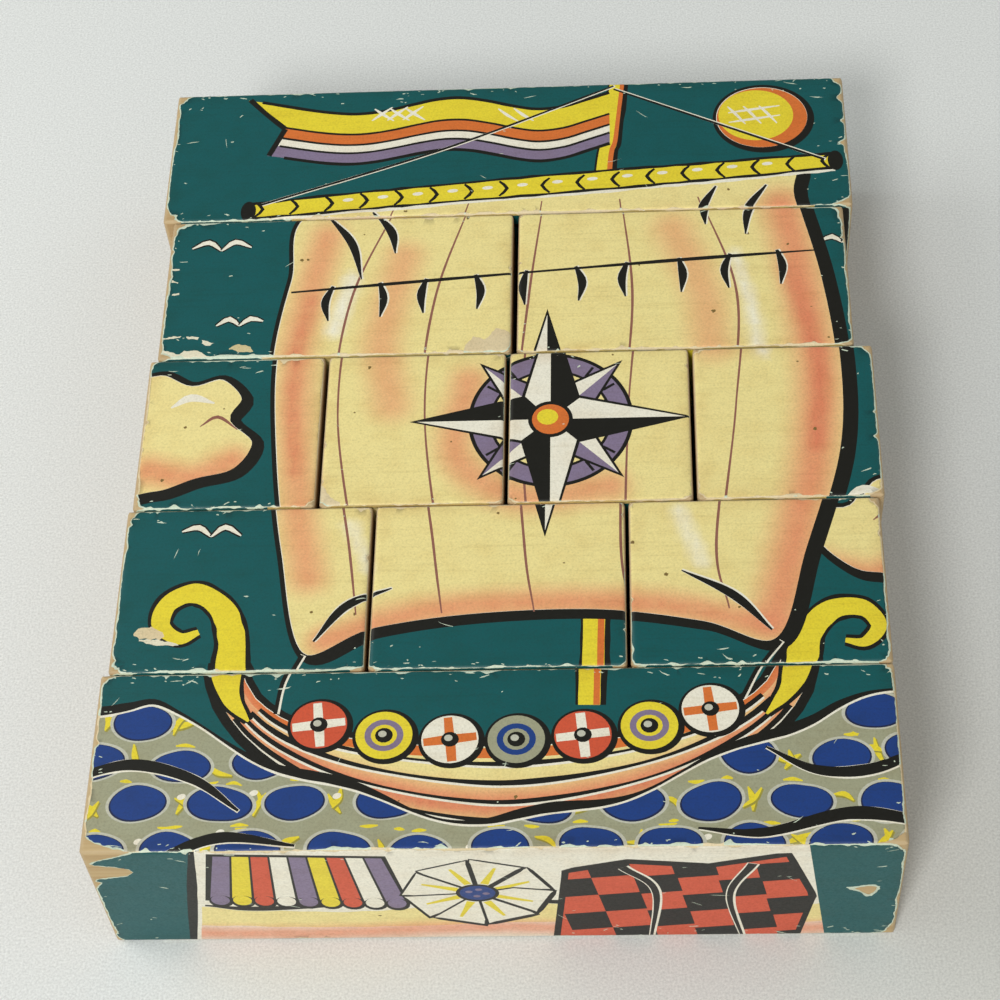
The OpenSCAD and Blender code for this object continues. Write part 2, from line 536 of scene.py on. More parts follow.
# The hull, its curled stem and stern, and the shields along its side.
RAIL = curve([(-48.4, -56), (-45.2, -63), (-36, -69.4), (-20, -73), (2, -74.2), (24, -72.6), (40, -68.6),
              (50, -62.6), (54.6, -55)])
KEEL = curve([(-55.4, -56), (-52.6, -65), (-44, -75.6), (-28, -86), (-6, -92.4), (10, -92.6), (32, -86.6),
              (49, -76), (58.4, -65.6), (61.6, -55)])
SHARES = np.linspace(0, 1, 34)


def strake(share):
    """A line along the hull, from its rail at 0 to its keel at 1."""
    return resample(RAIL, SHARES) * (1 - share) + resample(KEEL, SHARES) * share


def rail_height(x):
    return np.interp(x, RAIL[:, 0], RAIL[:, 1])


hull = ship.blob("cream", np.concatenate([strake(0), strake(1)[::-1]]), 1.3, 2.2, lean=-90,
                 round_corners=False)
ship.brush("orange", np.c_[strake(0.10), np.full(len(SHARES), 2.2)], hull)
ship.spray(SALMON, 0.95, 5.5, strake(0.64)[::3])
ship.spray(BLUSH, 0.5, 3.4, strake(0.74)[6:-6:3])
ship.spray(SALMON, 0.8, 4.0, strake(0.5)[:4])
ship.spray(SALMON, 0.8, 4.0, strake(0.5)[-4:])
for share, width in ((0.22, 1.0), (0.43, 1.2), (0.64, 1.0), (0.84, 1.1)):
    plank = np.c_[strake(share), width * (0.5 + 0.5 * np.sin(SHARES * 9) ** 2)]
    ship.key_line(plank[3:-3], halo=0.35, lean=(0, -0.3), within=hull)
stem = [(-46.5, -68.5, 0.5), (-50.2, -63.5, 3.6), (-51.7, -57, 5.8), (-52.0, -50, 5.4), (-54.4, -43.2, 4.8),
        (-59.8, -39.4, 4.4), (-65.0, -41.6, 4.0), (-66.2, -46.6, 3.4), (-62.4, -49.8, 2.6),
        (-58.6, -48.4, 1.2)]
stern = [(51.5, -68.5, 0.5), (56.0, -62.8, 3.6), (58.4, -56, 5.8), (60.2, -50.4, 5.0), (64.8, -45.6, 4.4),
         (70.6, -45.4, 3.6), (73.4, -49.4, 3.0), (70.6, -53.0, 2.2), (66.8, -52.6, 1.0)]
for ink, more in (("black", 1.6), ("yellow", 0.0)):
    ship.brush(ink, stem, more=more, step=0.6)
    ship.brush(ink, stern, more=more, step=0.6)
for number, x in enumerate((-33, -20.5, -8, 4.5, 17, 29.5, 41)):
    y = rail_height(x) + 1.0
    face, badge = (("red", "white"), ("yellow", "lilac"), ("white", "orange"),
                   ("stone", "blue"))[number % 4]
    ship.oval("black", x + 0.3, y - 0.3, 6.3, 5.9)
    ship.oval(face, x, y, 5.4, 5.1)
    if number % 2:
        ship.oval(badge, x, y, 3.7, 3.4)
        ship.oval(face, x, y, 2.5, 2.3)
    else:
        ship.brush(badge, [(x - 5.0, y - 0.6, 1.7), (x, y, 1.9), (x + 5.0, y + 0.6, 1.7)])
        ship.brush(badge, [(x - 0.5, y + 4.7, 1.7), (x, y, 1.9), (x + 0.5, y - 4.7, 1.7)])
    ship.oval("black", x, y, 1.7, 1.6)
    ship.oval("pale stone", x - 0.3, y + 0.3, 0.8, 0.7)
# The water in front of it.


def ship_water(x):
    return -90.5 + 25.5 * min(1.0, abs(x - 1) / 66) ** 1.5 + 1.2 * math.sin(x / 5.5)


ship.swell(-68, ship_water)
crest = [(x, ship_water(x) + 0.3, 1.3 + 0.8 * math.sin(x / 7.0)) for x in np.arange(-80, 81, 5)]
ship.key_line(crest, halo=0.3, lean=(0, -0.3))
for wave in (
    [(-80, -80.5, 1.6), (-68, -77.5, 2.3), (-56, -80.8, 2.0), (-47, -87.5, 0.5)],
    [(80, -76.5, 1.6), (70, -80.5, 2.4), (60, -80.4, 1.8), (51, -75.5, 0.4)],
    [(-62, -97.5, 1.8), (-50, -93.0, 2.2), (-36, -94.8, 0.5)],
    [(80, -91.5, 2.0), (66, -89.5, 2.6), (50, -93.2, 1.8), (38, -92.2, 0.4)],
):
    ship.key_line(wave, halo=0.3, lean=(0.1, -0.15))
# The sail, with its seams, reef points, shading and a compass star.
sail = [(-42, 60), (-46.5, 40), (-49, 18), (-47.5, -6), (-44, -30), (-38, -54), (-24, -49), (-4, -46),
        (20, -45.5), (40, -48.5), (54.5, -52.5), (61.5, -32), (68.5, -8), (70, 14), (68, 38), (64, 60),
        (63, 69), (40, 66), (0, 62.5)]
ship.blob("cream", sail, 0.9, 3.2, lean=-25)
for foot, belly, head in ((-30, -35, -24), (-13, -17, -8), (5, 3, 8), (24, 25, 25), (43, 47, 42)):
    ship.brush("brown", [(head, 61, 0.3), (belly + 2, 34, 0.55), (belly, 4, 0.4), (foot, -30, 0.55),
                         (foot + 2, -45, 0.3)])
ship.spray(SALMON, 0.9, 8.5, [(60, 58), (63.5, 30), (64, 6), (60, -22), (54, -47)])
ship.spray(SALMON, 0.75, 7.0, [(-39, 52), (-44, 20), (-43, -8), (-38, -36)])
ship.spray(SALMON, 0.85, 6.0, [(-34, -51), (-16, -45), (6, -43), (32, -44), (52, -49)])
ship.spray(SALMON, 0.6, 7.5, [(-22, 46), (-26, 22), (-24, 6)])
ship.spray(SALMON, 0.55, 8.0, [(36, 52), (42, 34), (43, 20)])
ship.spray(BLUSH, 0.45, 3.6, [(60, 40), (64.5, 16), (63, -6)])
ship.spray(BLUSH, 0.4, 3.0, [(-41, 34), (-45, 12), (-43, -10)])
ship.spray(SHINE, 0.8, 3.2, [(-33, 40), (-36, 26)])
ship.spray(SHINE, 0.7, 2.6, [(49, 44), (52, 30), (53, 18)])
ship.spray(SHINE, 0.6, 2.6, [(-30, -24), (-26, -34)])
ship.spray(SHINE, 0.6, 3.0, [(36, -22), (40, -34)])
for x, slant in ((-37, -1.5), (-27, 1.0), (-17, -1.0), (-6.5, 1.2), (4.5, -0.8), (15, 1.4), (26, -1.2),
                 (37, 0.8), (48, -1.4), (58, 1.0)):
    y = 40 + 0.075 * x
    ship.key_line([(x, y + 1, 0.7), (x + slant, y - 3.5, 1.8), (x + slant * 0.4, y - 8.5, 0.3)], halo=0.4)
ship.brush("black", [(-46, 36.8, 0.5), (-20, 38.9, 0.9), (10, 41.2, 0.6), (40, 43.4, 1.0), (66, 45, 0.4)])
for start, bend, end in (
    ((-39, 58), (-33.5, 50), (-31, 40)),
    ((-29, 59), (-25, 53), (-24, 47)),
    ((57, 64), (52.5, 57), (51.5, 50)),
    ((46, 64), (43, 58), (43, 53)),
    ((53, -50), (46, -42), (36, -36)),
    ((-36, -51), (-30, -43), (-21, -39)),
):
    ship.key_line([(*start, 0.4), (*bend, 1.9), (*end, 0.25)], halo=0.4)
STAR_X, STAR_Y = 9.0, 1.5
star_shade = ((-17, 10), (-19, -9), (-6, -19), (12, -17))
ship.spray(SALMON, 0.75, 7.0, [(STAR_X + dx, STAR_Y + dy) for dx, dy in star_shade])
for ink, wide in (("black", 17.0), ("lilac", 16.2), ("black", 12.6), ("cream", 12.0)):
    ship.oval(ink, STAR_X, STAR_Y, wide, wide)
for number in range(16):
    angle = math.radians(22.5 * number + 11.25)
    ship.brush("black", [(STAR_X + reach * math.cos(angle), STAR_Y + reach * math.sin(angle), 0.6)
                         for reach in (13.0, 14.4, 15.8)])
for long, wide, inks, turn in ((19.5, 4.6, ("white", "lilac"), 45), (27.5, 5.4, ("white", "black"), 0)):
    for number in range(4):
        angle = math.radians(turn + 90 * number)
        tip = np.array([math.cos(angle), math.sin(angle)])
        side = np.array([-tip[1], tip[0]])
        middle = np.array([STAR_X, STAR_Y])
        ship.panel("black", [middle, middle + tip * wide + side * (wide + 0.7),
                             middle + tip * (long + 1.6), middle + tip * wide - side * (wide + 0.7)])
        ship.panel(inks[0], [middle, middle + tip * wide + side * wide, middle + tip * long])
        ship.panel(inks[1], [middle, middle + tip * long, middle + tip * wide - side * wide])
ship.oval("black", STAR_X, STAR_Y, 4.6, 4.6)
ship.oval("orange", STAR_X, STAR_Y, 3.8, 3.8)
ship.oval("yellow", STAR_X - 0.6, STAR_Y + 0.6, 2.2, 2.0)
# The yard that the sail hangs from, bound with cord.
yard = np.array([(-56, 60.2, 4.0), (-30, 62.6, 4.8), (10, 65.8, 5.2), (45, 68.4, 4.8), (72, 70.6, 4.0)])
ship.brush("white", yard + [0, -0.7, 0.9])
ship.brush("black", yard + [0, 0, 0.9])
ship.brush("yellow", yard - [0, 0, 0.5])
for share in np.linspace(0.02, 0.98, 17):
    x, y = -56 + 128 * share, 60.4 + 10.2 * share
    point = 1.7 if share < 0.5 else -1.7
    ship.brush("black", [(x - point, y + 2.2, 0.5), (x, y + 0.1, 0.9), (x - point, y - 2.1, 0.5)])
    if 0.1 < share < 0.9:
        ship.oval("white", x + 3.4, y + 1.0, 1.2, 0.5, 5)
for x, y in ((-56.6, 60.2), (72.4, 70.6)):
    ship.oval("black", x, y, 1.7, 2.9)
# Stays from the masthead to the yard, and sheets from the sail's foot to the hull.
for rope in (
    [(24, 95, 0.5), (-14, 77.2, 0.6), (-54, 62, 0.6)],
    [(24, 94, 0.5), (50, 81, 0.6), (70, 71, 0.6)],
    [(-38, -54, 0.9), (-40.5, -60, 0.8), (-41.5, -67, 0.8)],
    [(54.5, -52.5, 0.9), (50.5, -58, 0.8), (47, -65, 0.8)],
):
    ship.key_line(rope, halo=0.25, lean=(0.3, 0))


# The picture on the front faces.
# Balloons over a fair, in the same inks. Its lowest strip is what the front long block shows:
# a striped awning, a pinwheel and a checked cloth on a pale ground.
fair = Picture("teal", 23)
fair.cloud([(-80, 66), (-80, 90), (-70, 93), (-62, 88), (-54, 90), (-48, 84), (-52, 77), (-47, 70),
            (-55, 64), (-68, 62)], (-62, 78))
fair.cloud([(80, -38), (70, -34), (62, -38), (54, -36), (50, -43), (55, -49), (66, -52), (80, -52)],
           (66, -43))
for x in range(-72, 76, 16):
    dip = 3.5 * math.cos(x / 76 * 1.5)
    fair.panel("black", [(x - 6.2, 95.6 - dip), (x + 6.2, 95.6 - dip), (x, 83.6 - dip)])
    flag = ("yellow", "red", "white", "lilac")[x // 16 % 4]
    fair.panel(flag, [(x - 5.2, 95.2 - dip), (x + 5.2, 95.2 - dip), (x, 85.2 - dip)])
fair.brush("black", [(-80, 94.5, 0.9), (-40, 92.4, 1.1), (0, 91.8, 0.9), (40, 92.4, 1.1), (80, 94.5, 0.9)])
for x, y, wide, ink, gore in ((-34, 30, 29, "cream", "orange"), (34, 44, 25, "yellow", "red"),
                              (6, -12, 20, "white", "lilac")):
    fair.brush("black", [(x - 1, y - wide * 1.05, 1.2), (x + 3, y - wide * 1.6, 0.9),
                         (x - 2, y - wide * 2.1, 1.1), (x + 1, -70, 0.7)])
    fair.blob(ink, round_points(x, y, wide, wide * 1.06), 0.9, 3.0, lean=-40)
    for share in (-0.62, 0.08, 0.66):
        fair.brush(gore, [(x + wide * share * 0.25, y + wide * 1.0, 0.6),
                          (x + wide * share * 0.95, y + wide * 0.45, wide * 0.17),
                          (x + wide * share * 1.08, y - wide * 0.2, wide * 0.19),
                          (x + wide * share * 0.3, y - wide * 0.98, 0.8)])
    fair.spray(SALMON, 0.9, wide * 0.30, [(x + wide * 0.5, y - wide * 0.78),
                                          (x + wide * 0.85, y - wide * 0.3),
                                          (x + wide * 0.85, y + wide * 0.35)])
    fair.spray(BLUSH, 0.35, wide * 0.16, [(x - wide * 0.6, y - wide * 0.72), (x, y - wide * 0.95),
                                          (x + wide * 0.6, y - wide * 0.74)])
    fair.spray(SHINE, 0.8, wide * 0.13, [(x - wide * 0.62, y + wide * 0.42),
                                         (x - wide * 0.42, y + wide * 0.66)])
    fair.key_line([(x - wide * 0.72, y + wide * 0.1, 0.4), (x - wide * 0.62, y + wide * 0.5, 1.8),
                   (x - wide * 0.3, y + wide * 0.76, 0.4)])
    fair.blob("orange", [(x - 2.4, y - wide * 1.06), (x, y - wide * 1.02), (x + 2.4, y - wide * 1.06),
                         (x + 1.6, y - wide * 1.15), (x - 1.6, y - wide * 1.15)], 0.5, 1.0)
# A striped tent behind the stalls.
fair.panel("black", [(40, -14), (72, -42), (70, -57.2), (12, -57.2), (9, -42)])
for number in range(8):
    left, right = 11 + 7.4 * number, 11 + 7.4 * (number + 1)
    fair.panel(("cream", "red")[number % 2], [(40, -16), (left, -41.5), (left, -56.6),
                                              (right - 0.4, -56.6), (right - 0.4, -41.5)])
fair.spray(SALMON, 0.7, 5.0, [(12, -44), (40, -40), (68, -44)])
for number in range(8):
    fair.oval("black", 14.7 + 7.4 * number, -43.6, 3.7, 2.9)
    fair.oval(("red", "cream")[number % 2], 14.7 + 7.4 * number, -43.0, 3.2, 2.4)
fair.brush("black", [(40, -16, 1.2), (40, -6, 0.9)])
fair.panel("yellow", [(40.4, -6), (50, -8.6), (40.4, -11)])
# The lowest strip.
ground = fair.panel("white", [(-55, -57.4), (58, -57.4), (63, -100), (-61, -100)])
fair.brush("cream", [(-66, -84, 9), (-30, -87, 7), (8, -84.5, 9), (40, -88, 7), (68, -85, 8)], ground)
fair.spray(SALMON, 0.85, 5.5, [(-66, -92), (-36, -93), (0, -91), (36, -94), (68, -92)])
fair.key_line([(-55, -57, 1.0), (-57.5, -74, 2.0), (-61, -98, 1.4)], halo=0.6, lean=(0.5, 0))
fair.key_line([(-56, -80.2, 0.6), (-44, -81.8, 1.9), (-10, -78.6, 1.1), (24, -81, 1.8), (60, -79.2, 0.6)],
              within=ground)
fair.panel("black", [(-52.5, -58.6), (-19.5, -60.3), (-16.6, -80.6), (-55.6, -78.0)])
for number in range(9):
    stripe = ("lilac", "yellow", "red", "white")[number % 4]
    top, foot = -51.4 + 3.5 * number, -54.6 + 4.2 * number
    fair.panel(stripe, [(top, -59.6 - 0.17 * number), (top + 3.1, -59.8 - 0.17 * number),
                        (foot + 3.7, -77.9 - 0.28 * number), (foot, -77.6 - 0.28 * number)])
    fair.oval("black", foot + 2.0, -78.4 - 0.28 * number, 2.35, 2.6)
    fair.oval(stripe, foot + 1.9, -77.9 - 0.28 * number, 1.8, 2.1)
cloth = [(14, -68), (25, -64.5), (40, -66.6), (54, -62.4), (59, -79), (56, -100), (11, -100)]
fair.blob("red", cloth, 1.4, 3.0, lean=90, round_corners=False)
check = fair.panel("red", cloth)
for row in range(5):
    for column in range(7):
        if (row + column) % 2:
            x, y = 9 + 7.9 * column + 1.2 * row, -64.0 - 7.2 * row + 1.3 * math.sin(column * 0.9)
            fair.panel("black", [(x, y), (x + 7.9, y + 1.1), (x + 9.1, y - 6.1), (x + 1.2, y - 7.2)],
                       check)
fair.key_line([(24, -66, 1.8), (30, -76, 1.3), (29, -98, 0.5)], halo=0.7)
fair.key_line([(48, -65, 1.8), (44, -78, 1.2), (47, -98, 0.5)], halo=0.7)
HUB_X, HUB_Y = -3.5, -76.0
for number in range(8):
    angle = math.radians(45 * number + 12)
    tip, tail = angle + 0.62, angle - 0.12
    sheet = [(HUB_X, HUB_Y), (HUB_X + 14.2 * math.cos(tail), HUB_Y + 13.6 * math.sin(tail)),
             (HUB_X + 14.6 * math.cos(tip), HUB_Y + 14 * math.sin(tip)),
             (HUB_X + 7.2 * math.cos(tip + 0.25), HUB_Y + 7.0 * math.sin(tip + 0.25))]
    fair.blob("white", sheet, 0.5, 1.2, round_corners=False, halo=0.1)
    fair.brush("yellow", [
        (HUB_X + 4 * math.cos(angle + 0.2), HUB_Y + 4 * math.sin(angle + 0.2), 1.6),
        (HUB_X + 11 * math.cos(angle + 0.22), HUB_Y + 11 * math.sin(angle + 0.22), 0.6),
    ])
fair.oval("black", HUB_X, HUB_Y, 4.1, 3.7)
fair.oval("blue", HUB_X, HUB_Y, 3.4, 3.0)
for dx, dy in ((-1.6, 0.5), (0.3, 1.4), (1.6, -0.3), (-0.2, -1.4)):
    fair.oval("lilac", HUB_X + dx, HUB_Y + dy, 0.7, 0.5)


# The picture on the undersides.
# A banded lighthouse on its rock, with its two beams, and the same sea up to its foot. It lies
# on the table until the blocks are turned twice.
light = Picture("teal", 37)
light.cloud([(-80, 30), (-80, 58), (-68, 62), (-58, 56), (-46, 58), (-40, 48), (-47, 42), (-42, 33),
             (-54, 28), (-68, 27)], (-60, 44))
light.cloud([(80, 62), (68, 66), (56, 62), (50, 68), (42, 62), (46, 54), (58, 50), (80, 50)], (62, 58))
light.gull(-34, 78, 6)
light.gull(-52, 84, 4.5)
light.gull(48, 30, 6, 0.1)
for turn, ink in ((14, "yellow"), (-10, "cream")):
    far_x, far_y = 4 - 100 * math.cos(math.radians(turn)), 62 + 100 * math.sin(math.radians(turn))
    light.panel(ink, [(4, 62), (far_x, far_y + 8), (far_x, far_y - 8)])
tower = [(-12, 52), (20, 52), (28, -34), (-20, -34)]
light.blob("white", tower, 1.0, 3.0, lean=-10, round_corners=False)
for number in range(3):
    top, foot = 36 - 30 * number, 22 - 30 * number
    light.panel("red", [(-12 - (52 - top) * 0.093 + 1, top), (20 + (52 - top) * 0.093 - 1, top),
                        (20 + (52 - foot) * 0.093 - 1, foot), (-12 - (52 - foot) * 0.093 + 1, foot)])
light.spray(SALMON, 0.8, 6.5, [(20, 50), (24, 0), (26, -34)])
light.spray(SMOKE, 0.5, 4.0, [(-11, 48), (-16, 0), (-19, -34)])
for x, y in ((2, 28), (4, -2)):
    light.oval("black", x, y, 3.4, 5.0)
    light.oval("yellow", x - 0.4, y + 0.4, 2.3, 3.8)
light.panel("black", [(-17, 56), (25, 56), (25, 50.5), (-17, 50.5)])
light.panel("yellow", [(-16, 55), (24, 55), (24, 51.6), (-16, 51.6)])
light.blob("cream", [(-9, 72), (17, 72), (17, 56), (-9, 56)], 0.8, 1.6, round_corners=False)
light.panel("yellow", [(-1, 70), (9, 70), (9, 58), (-1, 58)])
light.blob("orange", [(-13, 72), (4, 88), (21, 72)], 1.0, 2.4, round_corners=False)
light.oval("black", 4, 88.5, 2.4, 2.4)
light.blob("stone", [(-66, -58), (-50, -44), (-36, -40), (-26, -33), (0, -35.5), (22, -33), (36, -40),
                     (52, -46), (64, -60), (50, -66), (0, -70), (-50, -68)], 1.2, 3.0)
light.spray(SALMON, 0.6, 8.0, [(-50, -56), (-10, -50), (40, -54)])
for x, y in ((-44, -48), (-24, -41), (6, -44), (30, -46), (46, -54)):
    light.key_line([(x, y, 0.4), (x + 4, y - 6, 2.0), (x + 1, y - 13, 0.5)])


def light_water(x):
    return -61 + 2.4 * math.sin(x / 9.0)


light.swell(-60, light_water)
crest = [(x, light_water(x) + 0.3, 1.5 + 0.8 * math.sin(x / 6.0)) for x in np.arange(-80, 81, 5)]
light.key_line(crest, halo=0.7, lean=(0, -0.5))
for wave in ([(-80, -79, 1.8), (-60, -74, 2.4), (-40, -79, 1.8), (-26, -86, 0.4)],
             [(80, -86, 1.8), (58, -82, 2.4), (38, -88, 0.5)]):
    light.key_line(wave, halo=0.6, lean=(0.1, -0.3))


# The picture on the back faces.
# A striped umbrella on a beach, with a checked towel and a ball. The blocks show it when they
# are turned once towards the front.
beach = Picture("teal", 51)
beach.cloud([(-80, 72), (-80, 94), (-66, 97), (-56, 90), (-44, 92), (-40, 82), (-48, 74), (-60, 70)],
            (-60, 84))
beach.blob("yellow", round_points(56, 76, 13, 12.5), 0.8, 2.0)
beach.spray(SALMON, 0.8, 7, [(48, 68), (58, 65), (66, 70)])
beach.gull(24, 84, 6)
beach.gull(36, 64, 4.5, 0.1)
ribs = (-66, -44, -20, 6, 30, 50, 66)
canopy = [(0, 62), (-22, 58), (-46, 44), (-60, 22), (-66, 0), (-54, 4), (-42, -1), (-30, 4), (-18, -2),
          (-6, 4), (6, -2), (18, 4), (30, -1), (42, 4), (54, -1), (66, 2), (61, 22), (46, 44), (22, 58)]
beach.brush("black", [(-1, 62, 5.0), (4, -20, 5.4), (9, -86, 6.0)])
beach.brush("cream", [(-1, 62, 3.4), (4, -20, 3.8), (9, -86, 4.4)])
shade = beach.blob("cream", canopy, 1.2, 3.4, lean=-80, round_corners=False)
for number in range(6):
    left, right = ribs[number], ribs[number + 1]
    stripe = ("cream", "orange", "white", "lilac", "yellow", "red")[number]
    beach.panel(stripe, [(0, 61), (left * 0.62, 42), (left * 0.95, 16), (left, 1), (right, 1),
                         (right * 0.95, 16), (right * 0.62, 42)], shade)
for rib in ribs[1:-1]:
    beach.brush("black", [(0, 61, 0.6), (rib * 0.62, 42, 1.0), (rib * 0.95, 16, 1.1), (rib, 1, 0.7)])
beach.spray(SALMON, 0.85, 9, [(-60, 12), (-30, 10), (0, 8), (30, 10), (60, 12)])
beach.spray(SHINE, 0.7, 4, [(-30, 44), (-44, 28)])
beach.oval("black", 0, 64, 3.2, 3.6)
beach.oval("yellow", -0.3, 64.3, 2.2, 2.6)
sand = [(-80, -42), (-50, -38), (-20, -43), (10, -40), (44, -45), (80, -40), (80, -100), (-80, -100)]
beach.blob("cream", sand, 1.2, 2.4, lean=90, round_corners=False)
beach.spray(SALMON, 0.8, 9, [(-80, -52), (-40, -50), (0, -54), (40, -56), (80, -50)])
beach.spray(SALMON, 0.7, 8, [(-70, -88), (-30, -94), (20, -90), (70, -94)])
towel = [(-62, -62), (-18, -56), (-8, -84), (-58, -92)]
beach.blob("red", towel, 1.2, 2.6, round_corners=False)
check = beach.panel("red", towel)
for row in range(6):
    for column in range(7):
        if (row + column) % 2:
            x, y = -66 + 8.7 * column + 1.0 * row, -54 - 7.2 * row + 1.2 * column
            beach.panel("black", [(x, y), (x + 8.7, y + 1.2), (x + 9.7, y - 6.0), (x + 1.0, y - 7.2)],
                        check)
beach.blob("white", round_points(44, -70, 17, 16.5), 1.0, 3.0)
for start, ink in ((10, "blue"), (130, "yellow"), (250, "orange")):
    fan = [(44, -70)]
    for angle in np.radians(range(start, start + 61, 6)):
        fan.append((44 + 16.4 * math.cos(angle), -70 + 15.9 * math.sin(angle)))
    beach.panel("black", fan)
    beach.panel(ink, [(44 + (x - 44) * 0.96, -70 + (y + 70) * 0.96) for x, y in fan])
beach.spray(SALMON, 0.7, 5, [(52, -84), (58, -76), (59, -66)])
beach.oval("black", 44, -70, 3.2, 3.1)
beach.oval("white", 44, -70, 2.3, 2.2)
for x, y in ((-74, -56), (-70, -80), (4, -62), (22, -90), (70, -54), (72, -92), (14, -50)):
    beach.key_line([(x - 4, y, 0.3), (x, y + 1.4, 1.4), (x + 5, y, 0.3)])
    beach.brush("brown", [(x - 2, y - 3.4, 0.3), (x + 2, y - 2.6, 0.9), (x + 6, y - 3.6, 0.3)])


# The print on the back long block.
# A coat of white primer and a printed strip on each long face, worn ragged at the edges. The
# coat is modelled as a film: its outline and every area of ink are cut into its mesh.
# In millimetres: how deep a row is, and the roundings of the stock's long edges and its ends.
ROW_PITCH = 38.4
ARRIS_R = 0.7
END_R = 1.0
# The film stands this far above the wood, and its rim reaches this far down into it.
COAT = 0.05
FILM_DEPTH = 0.12
SEAM_WIDE = 1.0
# How much of an ink's colour is left at its rims: dirt that has caught there, and painted shade along the
# raised edge of the ink.
RIM_DIRT_AND_SHADE = 0.62
# How far the ink is set in at the sides, and the length and depth of a corner that is worn.
SIDE_RUB = (0.12, 0.14)
WORN_CORNER = (2.8, 1.5)
EDGE_STEP, PLACE_STEP = 0.38, 0.35
# The loose net between the cut lines, and how far its points are shaken out of line.
NET_STEP, NET_SHAKE = 1.6, 0.35
# How far in from a block's edge the printed ink is worn.
WORN_REACH = 7
# How much an end is rubbed, at the puzzle's left and right and where a neighbour guards it.
OUTER_LEFT = 0.85
OUTER_RIGHT = 0.55
INNER = 0.2
# A face has one speck, one flake and one scratch for each of these areas.
SPECK_AREA, FLAKE_AREA, SCRATCH_AREA = 420, 52, 950
# Lines cut round a face, in from its ends and its sides, that let the film bend over the arrises.
ARRIS_LINES = ((0.22, 0.20), (0.40, 0.35), (0.66, 0.53), (1.04, 0.74))
PALE_INKS = ("cream", "white", "stone", "pale stone", "yellow", "seam shade")
SOFT_INKS = ("cream", "white", "yellow", "orange", "stone", "lilac")
BALD_INKS = ("chip", "rub", "primer")


def is_ink(ink, names):
    """Which of these ink numbers belong to the named inks."""
    return np.isin(ink, [ink_number(name) for name in names])


def inside(spots, outline):
    """Which spots lie within a closed outline."""
    low, high = outline.min(0), outline.max(0)
    near = np.flatnonzero(((spots > low) & (spots < high)).all(1))
    x, y = outline.T.astype(np.float32)
    ahead_x, ahead_y = np.roll(x, -1), np.roll(y, -1)
    px, py = spots[near, 0:1].astype(np.float32), spots[near, 1:2].astype(np.float32)
    side = (ahead_x - x) * (py - y) - (px - x) * (ahead_y - y)
    up = (y <= py) & (ahead_y > py) & (side > 0)
    down = (y > py) & (ahead_y <= py) & (side < 0)
    within = np.zeros(len(spots), bool)
    within[near[up.sum(1) != down.sum(1)]] = True
    return within


def wander(hand, length, wave, places):
    """Smooth random numbers in 0 to 1, a new one every wave along a length."""
    steps = hand.uniform(0, 1, max(3, int(length / wave) + 2))
    return np.interp(places / length * (len(steps) - 1), np.arange(len(steps)), steps)


def worn_edge(hand, half, ends, corners, rough):
    """Where the ink and the primer under it end. Each end is rubbed by its own share, each
    side is set in a little, each corner (left front, right front, right back, left back) is
    rubbed off by its own length and depth, and all of it is ragged."""
    points = []
    for (rx, ry), sx, sy, start in zip(corners, (-1, 1, 1, -1), (-1, -1, 1, 1), (180, 270, 0, 90)):
        x = half[0] - (0.14 + 0.44 * ends[sx > 0]) - rx
        y = half[1] - SIDE_RUB[sy > 0] - ry
        for angle in np.radians(start + np.arange(0, 91, 9)):
            points.append((sx * x + rx * math.cos(angle), sy * y + ry * math.sin(angle)))
    line = straight(points, EDGE_STEP)
    out = -side_step(line, True)
    along = np.r_[0, np.cumsum(np.linalg.norm(np.diff(line, axis=0), axis=1))]
    total = along[-1] + 0.4
    on_end = np.abs(out[:, 0:1]) ** 2
    at_corner = 2 * np.abs(out[:, 0:1] * out[:, 1:2])
    fine, middle, thin, slow, slower = (wander(hand, total, wave, along)[:, None]
                                        for wave in (0.45, 1.4, 0.9, 7.0, 23.0))
    patchy = (slow * slower) ** 1.5
    share = np.where(out[:, 0:1] < 0, ends[0], ends[1])
    lost = on_end * share * (0.22 * fine + 0.62 * middle * slow + 0.9 * patchy)
    bites = 0.7 * np.clip(2.2 * middle - 1.2, 0, 1) * (0.3 + 0.7 * slow)
    lost += (1 - on_end) * (0.08 * fine + bites + 0.8 * patchy)
    lost += at_corner * (0.25 * fine + 0.55 * middle - 0.3)
    for _ in range(int(total / 26)):
        spot, width, deep = hand.uniform(0, total), hand.uniform(0.2, 0.9), hand.uniform(0.2, 0.9)
        lost += (deep * np.exp(-((along - spot) / width) ** 2))[:, None]
    bared = on_end * np.maximum(lost - 0.10 - 0.32 * thin, 0)
    bared = bared + (1 - on_end) * (0.06 * fine + 0.15 * patchy)
    bared += at_corner * (0.25 * fine + 0.55 * middle - 0.42)
    return line - out * lost * rough, line + out * (0.05 - bared * rough)


def torn(hand, x, y, wide, high, rough=0.3, turn=0.0):
    """The ragged outline of a small flake or scratch."""
    angle = np.arange(12) * 2 * math.pi / 12
    reach = 1 + hand.uniform(-rough, rough, 12)
    across, up = wide / 2 * reach * np.cos(angle), high / 2 * reach * np.sin(angle)
    up += (across / wide) ** 2 * hand.uniform(-0.25, 0.25) * wide
    return np.stack([x + across * math.cos(turn) - up * math.sin(turn),
                     y + across * math.sin(turn) + up * math.cos(turn)], 1)


